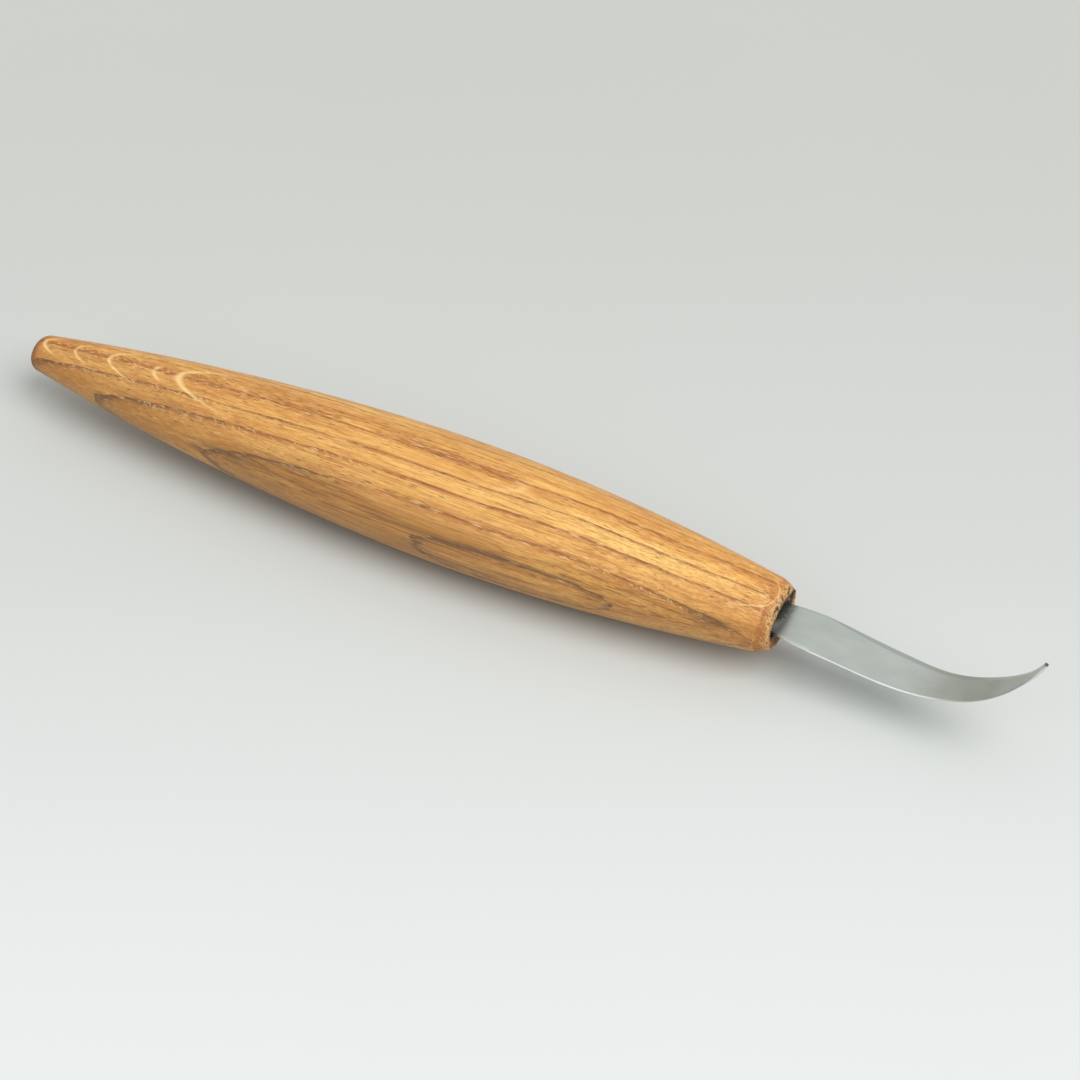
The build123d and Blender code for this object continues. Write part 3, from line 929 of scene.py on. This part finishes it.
# Tint of the steel at distances along the strip, with painted reflection: darker along the shank
# and brighter at the bend
STEEL_TINT_AND_PAINTED_REFLECTION = (
    (0, (0.900, 0.935, 0.915)), (24, (0.900, 0.935, 0.915)), (32, (0.96, 0.990, 0.970)),
    (43, (0.97, 0.970, 0.920)), (53, (1.26, 1.240, 1.170)), (58, (1.15, 1.155, 1.105)),
    (64, (0.89, 0.920, 0.900)),
)


def steel_material():
    """Satin ground tool steel, with soot next to the handle, a dark tip end, a painted glint and
    painted reflections.
    """
    m = Nodes("ground_steel")
    strip = m.attribute("strip", "Vector")
    along, across, depth = m.split(strip)
    lines = m.grain(strip, 0.10, 7.0)
    clouds = m.grain(strip, 0.16, 0.35, (4, 2, 6), roughness=0.55)
    scuffs = m.grain(strip, 1.3, 3.6, (1, 5, 5), roughness=0.7)
    grit = m.grain(strip, 3.2, 6.0, (2, 9, 4), detail=2)
    colour = m.ramp(clouds, STEEL_CLOUDS)
    colour = m.mix(m.step(lines, 0.42, 0.75, 0, 0.16), colour, GRINDING_LINE)
    colour = m.mix(m.step(scuffs, 0.60, 0.80, 0, 0.20), colour, SCUFF)
    # A painted warm reflection along the bend and on to the tip
    colour = m.mix(m.step(along, 38, 56, 0, 0.45), colour, WARM_PAINTED_REFLECTION)
    stops = [(at / TIP_DISTANCE, tint) for at, tint in STEEL_TINT_AND_PAINTED_REFLECTION]
    colour = m.mix(1.0, colour, m.ramp(m.times(along, 1 / TIP_DISTANCE), stops), "MULTIPLY")

    # A painted glint on the small facet along the near edge, at the shank and again near the tip
    facet = m.step(depth, FACET_TOP, FACET_FULL)
    facet = m.times(facet, m.math("LESS_THAN", across, -0.5))
    painted_glint_share = m.plus(m.step(along, 26, 46, 0.64, 0.05), m.step(along, 54, 63, 0, 0.60))
    painted_glint_share = m.times(m.step(along, 6, 13), painted_glint_share)
    colour = m.mix(m.times(facet, painted_glint_share), colour, PAINTED_GLINT)

    soot_edge = m.plus(m.plus(along, m.swing(scuffs, 3.0)), m.swing(grit, 4.6))
    soot_edge = m.plus(soot_edge, m.times(across, -0.06))
    soot = m.times(m.step(soot_edge, *SOOT_END, 1, 0), m.step(across, *SOOT_SIDES, 0.05, 1.0))
    dark_tip = m.step(along, *(TIP_DISTANCE - from_tip for from_tip in DARK_TIP_REACH))
    colour = m.mix(m.times(soot, 0.97), colour, SOOT)
    colour = m.mix(m.times(dark_tip, 0.90), colour, DARK_TIP_END)
    m.set("Base Color", colour)
    dark_parts = m.most(soot, dark_tip)
    rough = m.plus(m.plus(m.times(clouds, 0.08), 0.27), m.times(lines, 0.10))
    m.set("Roughness", m.plus(rough, m.times(dark_parts, 0.28)))
    m.set("Metallic", m.step(dark_parts, 0.2, 0.9, 1, 0.2))
    m.bump(m.plus(lines, m.times(scuffs, 0.4)), 0.22, 0.00004)
    return m.material


RESIN_TONES = ((0.3, (0.012, 0.010, 0.008)), (0.7, (0.045, 0.034, 0.022)))


def resin_material():
    """Set dark resin, glossy with a few dull patches and bubbles."""
    m = Nodes("set_dark_resin")
    mm = m.object_mm()
    flow = m.grain(mm, 0.8, 0.8)
    bubbles, _ = m.cells(mm, 2.2, 2.2)
    m.set("Base Color", m.ramp(flow, RESIN_TONES))
    m.set("Roughness", m.plus(m.times(flow, 0.35), 0.12))
    m.bump(m.plus(flow, m.step(bubbles, 0.10, 0.30, -0.5, 0)), 0.4, 0.0002)
    m.set("IOR", 1.55)
    return m.material


# Floor tones from the far side to the viewer's, brighter towards the viewer as painted light, and
# the direction towards the viewer
FLOOR_TONES_WITH_PAINTED_LIGHT = (
    (0.0, (0.500, 0.514, 0.494)), (0.5, (0.562, 0.581, 0.573)), (1.0, (0.695, 0.718, 0.722)),
)
FLOOR_MOTTLE = (0.58, 0.60, 0.59)
FLOOR_HALF_SIZE, FLOOR_FADE = 8, 0.20
TOWARD_VIEWER = (0.444, -0.896)


def floor_material():
    """Plain pale matt board, with painted light making it a little brighter towards the viewer."""
    m = Nodes("pale_floor")
    place = m.node("TexCoord").outputs["Object"]
    x, y, _ = m.split(place)
    toward = m.plus(m.times(x, TOWARD_VIEWER[0]), m.times(y, TOWARD_VIEWER[1]))
    floor_tone_and_painted_light = m.ramp(m.step(toward, -FLOOR_FADE, FLOOR_FADE), FLOOR_TONES_WITH_PAINTED_LIGHT)
    mottle = m.grain(place, 9, 9, roughness=0.5)
    m.set("Base Color", m.mix(m.step(mottle, 0.3, 0.7, 0, 0.05), floor_tone_and_painted_light, FLOOR_MOTTLE))
    m.set("Roughness", m.plus(m.times(mottle, 0.1), 0.75))
    m.set("Specular IOR Level", 0.2)
    return m.material


# ------------------------------------------------------------------------ stage

# Camera: turned and tilted round the origin, in degrees, then moved in its own plane, in metres
CAMERA_TURN, CAMERA_TILT, CAMERA_DISTANCE = 26.35, 46.96, 0.9
CAMERA_RIGHT, CAMERA_UP = 0.00544, 0.00558
SENSOR_WIDTH, LENS = 36, 123.23

# Lights: energy, angular size in degrees, colour, direction they come from
KEY_LIGHT = (2.02, 45, (1.0, 0.985, 0.955), (0.54, -0.14, 0.86))
FILL_LIGHT = (0.40, 36, (0.97, 1.0, 1.0), (-0.30, -0.73, 0.61))

# Room: dim from the sides and from below, rising to white in one direction, nearly straight
# up. The camera itself sees a plain backdrop.
ROOM_DIRECTION = (-0.05, 0.18, 0.97)
ROOM_TONES = ((0.0, (0.135, 0.14, 0.135)), (0.5, (0.404, 0.418, 0.409)), (1.0, (1.0, 1.0, 1.0)))
BACKDROP = (0.62, 0.645, 0.63, 1)


def build_camera():
    """The camera looks down on the knife from in front, with the butt to the left."""
    turn, tilt = math.radians(CAMERA_TURN), math.radians(CAMERA_TILT)
    right = Vector((math.cos(turn), math.sin(turn), 0))
    ahead = Vector((-math.sin(turn), math.cos(turn), 0))
    back = -ahead * math.cos(tilt) + Vector((0, 0, math.sin(tilt)))
    up = ahead * math.sin(tilt) + Vector((0, 0, math.cos(tilt)))
    data = bpy.data.cameras.new("camera")
    data.sensor_width = SENSOR_WIDTH
    data.lens = LENS
    data.clip_start, data.clip_end = 0.01, 50
    camera = add_object("camera", data)
    place = right * CAMERA_RIGHT + up * CAMERA_UP + back * CAMERA_DISTANCE
    axes = Matrix((right, up, back)).transposed().to_4x4()
    camera.matrix_world = Matrix.Translation(place) @ axes
    bpy.context.scene.camera = camera


def add_sun(name, energy, size, colour, toward):
    """A distant light with soft shadows, shining from the direction given."""
    data = bpy.data.lights.new(name, "SUN")
    data.energy = energy
    data.angle = math.radians(size)
    data.color = colour
    sun = add_object(name, data)
    sun.rotation_mode = "QUATERNION"
    sun.rotation_quaternion = Vector(toward).to_track_quat("Z", "Y")


def build_room():
    """Bright surroundings, brightest above."""
    world = bpy.data.worlds.new("room")
    bpy.context.scene.world = world
    world.use_nodes = True
    nodes, links = world.node_tree.nodes, world.node_tree.links
    nodes.clear()
    coords = nodes.new("ShaderNodeTexCoord")
    toward = nodes.new("ShaderNodeVectorMath")
    toward.operation = "DOT_PRODUCT"
    toward.inputs[1].default_value = Vector(ROOM_DIRECTION).normalized()
    ramp = nodes.new("ShaderNodeValToRGB")
    set_ramp(ramp.color_ramp, ROOM_TONES)
    seen = nodes.new("ShaderNodeLightPath")
    mix = nodes.new("ShaderNodeMix")
    mix.data_type = "RGBA"
    mix.inputs[7].default_value = BACKDROP
    background = nodes.new("ShaderNodeBackground")
    output = nodes.new("ShaderNodeOutputWorld")
    links.new(coords.outputs["Generated"], toward.inputs[0])
    links.new(toward.outputs["Value"], ramp.inputs[0])
    links.new(seen.outputs["Is Camera Ray"], mix.inputs[0])
    links.new(ramp.outputs[0], mix.inputs[6])
    links.new(mix.outputs[2], background.inputs[0])
    links.new(background.outputs[0], output.inputs[0])


def build_floor():
    """A large plain floor at the height the knife lies on."""
    mesh = bpy.data.meshes.new("floor")
    size = FLOOR_HALF_SIZE
    corners = [(-size, -size, 0), (size, -size, 0), (size, size, 0), (-size, size, 0)]
    mesh.from_pydata(corners, [], [(0, 1, 2, 3)])
    mesh.materials.append(floor_material())
    floor = add_object("floor", mesh)


bpy.context.scene.view_settings.view_transform = "Standard"
build_camera()
add_sun("key", *KEY_LIGHT)
add_sun("fill", *FILL_LIGHT)
build_room()
build_floor()

handle = build_handle()
handle.data.materials.append(wood_material())
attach(handle, "root")
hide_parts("handle")

blade = build_blade()
blade.data.materials.append(steel_material())
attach(blade, "root")
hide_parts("blade")

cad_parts["tang_adhesive"].data.materials.clear()
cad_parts["tang_adhesive"].data.materials.append(resin_material())
